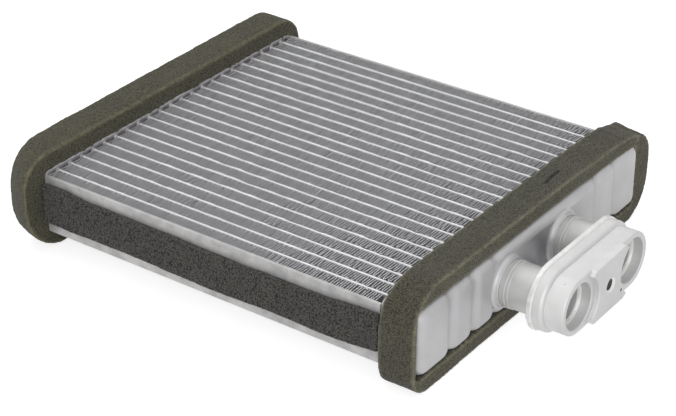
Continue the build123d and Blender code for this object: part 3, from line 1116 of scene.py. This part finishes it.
# %% [markdown]
# ## Port block
# The block looks forged and then machined. It has a sheared rear plate, an oval flange with a rounded
# front edge, and an oval neck with a turned port at each end. Between the ports a web stands proud, with
# the threaded hole for the fixing screw and a small dimple. Ovals are circles with their halves moved
# apart. The web's ends are hollowed by the ports, so its outline is spun from two arcs. Each body is a
# row of such outlines, and the last ones get smaller to round the edge.


# %% Outlines of the block
def oval_outline(bm, x, radius, segments=96):
    turn = Matrix.Rotation(math.pi / 2, 4, "Y") @ Matrix.Rotation(math.pi / segments, 4, "Z")
    place = Matrix.Translation((x, port_middle_y, core_z))
    made = bmesh.ops.create_circle(bm, segments=segments, radius=radius, matrix=place @ turn)
    for side in (-1, 1):
        half = [v for v in made["verts"] if (v.co.y - port_middle_y) * side > 0]
        bmesh.ops.translate(bm, verts=half, vec=(0.0, side * half_spacing, 0.0))
    return made["verts"]


def waisted_outline(bm, x, half_length, half_height, relief, corner=2.4, steps=28):
    arcs = []
    for side in (1, -1):
        port = Vector((x, port_middle_y + side * half_spacing, core_z))
        reach = half_spacing - half_length
        rise = math.sqrt(relief * relief - reach * reach)
        arc = [bm.verts.new(port + Vector((0.0, -side * reach, rise)))]
        spun = bmesh.ops.spin(
            bm,
            geom=[arc[0]],
            cent=port,
            axis=(1.0, 0.0, 0.0),
            dvec=(0.0, 0.0, 0.0),
            angle=side * 2 * math.atan2(rise, reach),
            steps=steps,
            use_duplicate=False,
        )
        last = verts_in(spun["geom_last"])[0]
        end_y = port_middle_y + side * (half_length - corner)
        top = bm.verts.new((x, end_y, core_z + half_height))
        bottom = bm.verts.new((x, end_y, core_z - half_height))
        bm.edges.new((top, arc[0]))
        bm.edges.new((last, bottom))
        arcs.append((top, bottom))
    bm.edges.new((arcs[0][0], arcs[1][0]))
    bm.edges.new((arcs[0][1], arcs[1][1]))
    linked, front = {arcs[0][0]}, [arcs[0][0]]
    while front:
        for edge in front.pop().link_edges:
            for v in edge.verts:
                if v not in linked:
                    linked.add(v)
                    front.append(v)
    return list(linked)


def round_hole(bm, x, y, radius, segments=64, z=core_z):
    turn = Matrix.Rotation(math.pi / 2, 4, "Y")
    place = Matrix.Translation((x, y, z)) @ turn
    return bmesh.ops.create_circle(bm, segments=segments, radius=radius, matrix=place)["verts"]


def cap(bm, outline, holes):
    edges = edges_of(outline)
    for hole in holes:
        edges += edges_of(hole)
    bmesh.ops.triangle_fill(bm, use_beauty=True, use_dissolve=False, edges=edges)


# %% Rear plate and flange
flange_x, boss_x = block_x + 2.4, block_x + 7.2
port_x = web_x - 2.2
plate_radius, flange_radius, seat_radius = 14.6, 14.1, 9.0


def oval_plate(bm, rows, back_radius, front_radius):
    outlines = [oval_outline(bm, x, radius) for x, radius in rows]
    bridge_row(bm, outlines)
    back_holes = [round_hole(bm, rows[0][0], y, back_radius) for y in ports]
    front_holes = [round_hole(bm, rows[-1][0], y, front_radius) for y in ports]
    cap(bm, outlines[0], back_holes)
    cap(bm, outlines[-1], front_holes)
    for back_hole, front_hole in zip(back_holes, front_holes):
        bmesh.ops.bridge_loops(bm, edges=edges_of(back_hole) + edges_of(front_hole))


plate_rows = [(block_x, plate_radius - 0.35), (block_x + 0.3, plate_radius)]
plate_rows += [(flange_x - 0.5, plate_radius), (flange_x, plate_radius - 0.5)]
bm = bmesh.new()
oval_plate(bm, plate_rows, back_radius=10.8, front_radius=seat_radius)
for v in bm.verts:
    along = max(front_port_y, min(back_port_y, v.co.y))
    out = Vector((0.0, v.co.y - along, v.co.z - core_z))
    if out.length > 12.0:
        v.co += out.normalized() * 0.16 * noise.noise(v.co * 0.8)
bmesh.ops.recalc_face_normals(bm, faces=bm.faces)
to_metres(bm)
make_piece("block_rear_plate", bm, sheared_metal, ["port_block"], sharp=32.0)

bm = bmesh.new()
flange_rows = [(flange_x, flange_radius - 0.2), (flange_x + 0.25, flange_radius)]
flange_rows += [(x, flange_radius - inset) for x, inset in rounded_steps(flange_x, boss_x, 1.7, steps=6)[1:]]
oval_plate(bm, flange_rows, back_radius=seat_radius, front_radius=seat_radius)
bmesh.ops.recalc_face_normals(bm, faces=bm.faces)
to_metres(bm)
make_piece("block_flange", bm, block_metal, [], sharp=32.0)
print("rear plate and flange radius:", plate_radius, flange_radius)

# %% [markdown]
# The neck, the web and the two turned ports are one body in the real block, so they are made in one
# bmesh: the circles that the parts share fall on each other and are merged. The screw thread is a spun
# zigzag in a near-black finish that is painted shade inside the hole, and the dimple gets the same
# painted shade.

# %% Neck, web and turned ports
neck_x, neck_radius = boss_x - 0.5, 12.5
port_radius, mouth_radius, round_steps = 10.0, 10.45, 96
bm = bmesh.new()
neck_rows = [(neck_x, neck_radius)]
neck_rows += [(x, neck_radius - inset) for x, inset in rounded_steps(neck_x, port_x, 0.8)[1:]]
neck = [oval_outline(bm, x, radius) for x, radius in neck_rows]
bridge_row(bm, neck)
cap(bm, neck[0], [round_hole(bm, neck_x, y, bore_radius, round_steps) for y in ports])
mouths = [round_hole(bm, port_x, y, mouth_radius, round_steps) for y in ports]
hidden_radius = 3.6
cap(bm, neck[-1], mouths + [round_hole(bm, port_x, port_middle_y, hidden_radius)])

web_root_x, web_length, web_height, web_relief = port_x - 1.6, 14.5, 12.55, 12.7
web_rows = [waisted_outline(bm, web_root_x, web_length, web_height, web_relief)]
for x, inset in rounded_steps(web_root_x, web_x, 0.7)[1:]:
    web_rows.append(waisted_outline(bm, x, web_length - inset, web_height - inset, web_relief + inset))
bridge_row(bm, web_rows)
cap(bm, web_rows[0], [round_hole(bm, web_root_x, port_middle_y, hidden_radius)])

screw_radius, screw_mouth, chamfer_x = 2.5, 3.5, web_x - 0.8
dimple_y, dimple_z, dimple_radius = port_middle_y + 9.3, core_z - 7.0, 0.75
screw_hole = round_hole(bm, web_x, port_middle_y, screw_mouth)
dimple = round_hole(bm, web_x, dimple_y, dimple_radius, 16, dimple_z)
cap(bm, web_rows[-1], [screw_hole, dimple])
spin_profile(bm, [(web_x, screw_mouth), (chamfer_x, screw_radius)], port_middle_y)
dimple_profile = [(web_x, dimple_radius), (web_x - 0.7, 0.35), (web_x - 0.8, 0.0)]
spin_profile(bm, dimple_profile, dimple_y, 16, dimple_z)

port_profile = [(port_x, mouth_radius), (port_x - 0.45, port_radius), (port_x - 4.7, port_radius)]
port_profile += [(port_x - 4.95, 9.85), (port_x - 5.0, 9.55), (port_x - 5.0, 9.25), (port_x - 5.35, 9.1)]
port_profile += [(port_x - 5.4, 8.85), (port_x - 5.75, bore_radius), (neck_x, bore_radius)]
for y in ports:
    spin_profile(bm, port_profile, y, round_steps)
pip_place = Vector((boss_x + 4.4, front_port_y - 5.0, core_z + 11.46))
pip_lean = Vector((0.0, -5.0, 11.46)).to_track_quat("Z", "Y").to_matrix().to_4x4()
bmesh.ops.create_cone(
    bm,
    cap_ends=True,
    segments=16,
    radius1=0.75,
    radius2=0.4,
    depth=0.7,
    matrix=Matrix.Translation(pip_place) @ pip_lean,
)
close_skin(bm, distance=0.0005)
to_metres(bm)
neck_piece = make_piece("block_neck", bm, block_metal, [], sharp=32.0)
neck_piece.data.materials.append(turned_metal)
neck_piece.data.materials.append(painted_hole_shade)
# The dimple's faces get the painted shade of the hole finish; the countersink and the port step get the
# turned finish.
for polygon in neck_piece.data.polygons:
    centre = polygon.center / mm
    from_screw = math.hypot(centre.y - port_middle_y, centre.z - core_z)
    from_dimple = math.hypot(centre.y - dimple_y, centre.z - dimple_z)
    from_port = min(math.hypot(centre.y - y, centre.z - core_z) for y in ports)
    if from_dimple < dimple_radius - 0.01 and centre.x > port_x and abs(polygon.normal.x) < 0.99:
        polygon.material_index = 2
    elif from_screw < screw_mouth and centre.x > web_x - 0.74 and abs(polygon.normal.x) < 0.95:
        polygon.material_index = 1
    elif 9.15 < from_port < 9.95 and port_x - 5.8 < centre.x < port_x - 4.6:
        polygon.material_index = 1
print("block neck faces:", len(neck_piece.data.polygons))

# %% Screw thread
thread_pitch, thread_depth, thread_end_x = 0.8, 0.35, web_x - 9.4
thread_profile = [(chamfer_x, screw_radius)]
for turn in range(10):
    x = web_x - 1.0 - turn * thread_pitch
    thread_profile += [(x, screw_radius), (x - thread_pitch / 2, screw_radius + thread_depth)]
thread_profile += [(thread_end_x, screw_radius), (thread_end_x, 0.0)]
bm = bmesh.new()
spin_profile(bm, thread_profile, port_middle_y, segments=48)
close_skin(bm)
bmesh.ops.reverse_faces(bm, faces=bm.faces)
to_metres(bm)
make_piece("screw_thread", bm, painted_hole_shade, [], sharp=32.0)
print("screw thread:", round(chamfer_x - thread_end_x, 1), "mm deep")

# %% [markdown]
# ## Foam seals
# The two big seals are thick foam wrapped round the tanks, and the thin one is a strip stuck along the
# front side plate. Foam has soft edges and a lumpy skin. Each seal starts as a plain ring or bar with the
# outline of the real one. A voxel remesh turns it into an even skin, and noise moves that skin in and out
# by a few tenths of a millimetre, on top of the larger waves that each seal has.


# %% Foam helpers
def rounded_box_outline(bm, x, front, back, bottom, top, radii):
    turns = ((front, bottom), (front, top), (back, top), (back, bottom))
    corners = [bm.verts.new((x, y, z)) for y, z in turns]
    bm.faces.new(corners)
    made = set(corners)
    for corner, radius in zip(corners, radii):
        result = bmesh.ops.bevel(
            bm, geom=[corner], offset=radius, segments=8, profile=0.5, affect="VERTICES", material=-1
        )
        made = {v for v in made if v.is_valid} | set(result["verts"])
    face = [f for f in bm.faces if f.is_valid and all(v in made for v in f.verts)][0]
    outline = list(face.verts)
    bmesh.ops.delete(bm, geom=[face], context="FACES_ONLY")
    return outline


def foam_skin(name, bm, material, node, voxel, lump, shape=None):
    bmesh.ops.recalc_face_normals(bm, faces=bm.faces)
    to_metres(bm)
    mesh = bpy.data.meshes.new(name + "_start")
    bm.to_mesh(mesh)
    bm.free()
    start = bpy.data.objects.new(name + "_start", mesh)
    bpy.context.scene.collection.objects.link(start)
    remesh = start.modifiers.new("voxels", "REMESH")
    remesh.mode = "VOXEL"
    remesh.voxel_size = voxel * mm
    smooth = start.modifiers.new("soften", "SMOOTH")
    smooth.factor = 0.5
    smooth.iterations = 1
    graph = bpy.context.evaluated_depsgraph_get()
    skin = bpy.data.meshes.new_from_object(start.evaluated_get(graph))
    bpy.data.objects.remove(start)
    bm = bmesh.new()
    bm.from_mesh(skin)
    bm.normal_update()
    moves = []
    for v in bm.verts:
        place = v.co / mm
        broad = noise.noise(place * 0.10)
        cells = noise.noise(place * 0.55)
        pits = noise.noise(place * 1.3)
        step = v.normal * (lump * (0.5 * broad + 0.35 * cells + 0.3 * pits))
        if shape:
            step += shape(place)
        moves.append(step * mm)
    for v, step in zip(bm.verts, moves):
        v.co += step
    piece = make_piece(name, bm, material, [node], sharp=180.0)
    return piece


def between_knots(knots, place, column):
    for first, second in zip(knots, knots[1:]):
        if first[0] <= place <= second[0]:
            share = (place - first[0]) / (second[0] - first[0])
            share = share * share * (3 - 2 * share)
            return first[column] * (1 - share) + second[column] * share
    return knots[-1][column] if place > knots[-1][0] else knots[0][column]


# %% Left seal
foam_top, glue_gap = 2 * core_z, 0.1
opening_half = header_height / 2 + glue_gap
opening = (front_y - glue_gap, back_y + glue_gap, core_z - opening_half, core_z + opening_half)
opening_round = (3.1, 3.1, 3.1, 3.1)


def foam_ring(bm, rows):
    outer = [rounded_box_outline(bm, *row) for row in rows]
    bridge_row(bm, outer)
    inner = [rounded_box_outline(bm, x, *opening, opening_round) for x in (rows[0][0], rows[-1][0])]
    bridge_row(bm, inner)
    bmesh.ops.bridge_loops(bm, edges=edges_of(outer[0]) + edges_of(inner[0]))
    bmesh.ops.bridge_loops(bm, edges=edges_of(outer[-1]) + edges_of(inner[-1]))


bm = bmesh.new()
left_x = left_header_x - 0.2
foam_ring(
    bm,
    [
        (left_x, front_y - 12.3, back_y + 6.9, 0.4, foam_top - 0.6, (24.0, 14.0, 14.0, 14.0)),
        (left_x - 0.4, front_y - 12.6, back_y + 7.2, 0.1, foam_top - 0.3, (24.0, 14.0, 14.0, 14.0)),
        (left_x - 8.0, front_y - 9.6, back_y + 7.2, 0.1, foam_top - 0.1, (22.0, 16.0, 14.0, 14.0)),
        (left_x - 15.9, front_y - 5.2, back_y + 7.2, 0.1, foam_top - 0.2, (20.0, 18.0, 14.0, 14.0)),
        (left_x - 16.5, front_y - 4.7, back_y + 6.9, 0.4, foam_top - 0.5, (20.0, 18.0, 14.0, 14.0)),
    ],
)
left_seal = foam_skin("left_seal", bm, left_foam_skin, "left_foam", voxel=0.9, lump=0.5)
print("left seal faces:", len(left_seal.data.polygons))

# %% [markdown]
# The far end of the right seal hangs down, most of all near its last corner. A list of knots along Y says
# how far its inner and its outer edge hang at each place, and a smooth curve runs between the knots. The
# same function draws the front of the seal towards the pan, and lets the far wall lean over the edge of
# the tank.

# %% Right seal
right_x, right_width = right_header_x + 2.8, 15.0
right_round = (10.5, 17.0, 17.0, 18.0)
sag_knots = [
    (20.0, 0.0, 0.0),
    (35.0, 0.0, 0.4),
    (45.0, 0.1, 1.1),
    (60.0, 0.4, 1.4),
    (68.0, 0.6, 1.6),
    (75.0, 1.2, 2.4),
    (82.0, 3.0, 3.4),
    (87.0, 3.2, 4.3),
    (91.0, 1.8, 4.0),
    (95.0, 0.2, 2.8),
    (98.5, 0.0, 1.0),
]


def right_shape(place):
    front = clamped((front_y + 8.0 - place.y) / 8.0)
    inner = clamped((right_x + 3.0 - place.x) / 3.0)
    low = clamped((38.0 - place.z) / 20.0)
    step = Vector((-front * inner * (1.5 + 0.2 * low), -0.5 * front * low, 0.0))
    outer = clamped((place.x - right_x) / right_width)
    inner_sag, outer_sag = (between_knots(sag_knots, place.y, column) for column in (1, 2))
    sag = inner_sag * (1.0 - outer) + outer_sag * outer
    skin = clamped(max((place.z - 40.5) / 3.0, (place.y - 89.0) / 4.0))
    lip = clamped((place.x - right_x - 10.5) / 3.5)
    upper = clamped((place.z - 18.0) / 14.0)
    step.z -= sag * upper * max(skin, 0.62 * lip)
    back = clamped((place.y - 83.0) / 2.0) * clamped((93.0 - place.y) / 4.0)
    within = clamped((place.z - 6.0) / 3.0) * clamped((41.0 - place.z) / 3.0)
    step.y -= 3.0 * back * within * lip
    near_tank = min(abs(place.z - opening[2]), abs(place.z - opening[3]))
    if place.x > right_x + 13.0 and near_tank < 1.2 and opening[0] + 3 < place.y < opening[1]:
        step.z += 0.55 * noise.noise(Vector((place.y * 0.55, 3.0, 0.0)))
    return step


bm = bmesh.new()
foam_ring(
    bm,
    [
        (right_x, front_y - 2.3, back_y + 10.0, 0.5, foam_top - 0.5, right_round),
        (right_x + 0.4, front_y - 2.6, back_y + 10.3, 0.2, foam_top - 0.2, right_round),
        (right_x + 7.5, front_y - 2.5, back_y + 10.2, 0.3, foam_top - 0.4, right_round),
        (right_x + right_width - 0.4, front_y - 2.6, back_y + 10.3, 0.2, foam_top - 0.2, right_round),
        (right_x + right_width, front_y - 2.3, back_y + 10.0, 0.5, foam_top - 0.5, right_round),
    ],
)
right_seal = foam_skin(
    "right_seal", bm, right_foam_skin, "right_foam", voxel=0.8, lump=0.45, shape=right_shape
)
print("right seal faces:", len(right_seal.data.polygons))

# %% [markdown]
# The front strip is narrow, and its two edges wander. It starts as a bar that is cut in short lengths,
# and a list of knots along X says how far the upper and the lower edge lie from the middle of the core.

# %% Front strip
strip_knots = [
    (-104.1, 10.6, -7.8),
    (-95.0, 10.6, -7.9),
    (-80.0, 9.2, -7.9),
    (-60.0, 9.1, -7.6),
    (-30.0, 8.7, -8.3),
    (-5.0, 8.1, -8.7),
    (5.0, 7.8, -8.2),
    (16.0, 8.3, -7.8),
    (31.0, 8.2, -8.1),
    (45.0, 8.4, -8.4),
    (55.0, 9.3, -8.1),
    (71.1, 10.0, -6.8),
]
strip_low, strip_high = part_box("front_foam")
strip_x, strip_length = strip_low.x / mm, (strip_high.x - strip_low.x) / mm - 1.4
strip_thickness, strip_cuts = 3.1, 44
bm = bmesh.new()
made = bmesh.ops.create_cube(bm, size=1.0)
strip_middle = (strip_x + strip_length / 2, front_y - strip_thickness / 2, core_z)
bmesh.ops.scale(bm, vec=(strip_length, strip_thickness, 2.0), verts=made["verts"])
bmesh.ops.translate(bm, verts=made["verts"], vec=strip_middle)
outside = [e for e in edges_along_x(bm) if e.verts[0].co.y < strip_middle[1]]
bmesh.ops.bevel(bm, geom=outside, offset=0.5, segments=2, profile=0.5, affect="EDGES", material=-1)
for step in range(1, strip_cuts):
    cut_across(bm, (strip_x + strip_length * step / strip_cuts, 0.0, 0.0), (1, 0, 0))
for v in bm.verts:
    side = v.co.z - core_z
    edge = between_knots(strip_knots, v.co.x, 1 if side > 0 else 2)
    v.co.z = core_z + edge - (1.0 - abs(side)) * (1 if side > 0 else -1)
front_strip = foam_skin(
    "front_strip", bm, front_foam_skin, "front_foam", voxel=0.7, lump=0.35
)
print("front strip faces:", len(front_strip.data.polygons))

# %% [markdown]
# ## Pieces that stay as the CAD made them
# The side plates are flat sheet and the baffle is hidden in the tank. Their CAD shapes are right, so they
# only get their finishes.

# %% Finishes on the CAD pieces
cad_finishes = {
    "front_side_plate": plate_metal,
    "back_side_plate": plate_metal,
    "tank_baffle": tank_metal,
}
for node, material in cad_finishes.items():
    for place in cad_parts[node].material_slots:
        place.material = material
print("CAD pieces with new finishes:", len(cad_finishes))
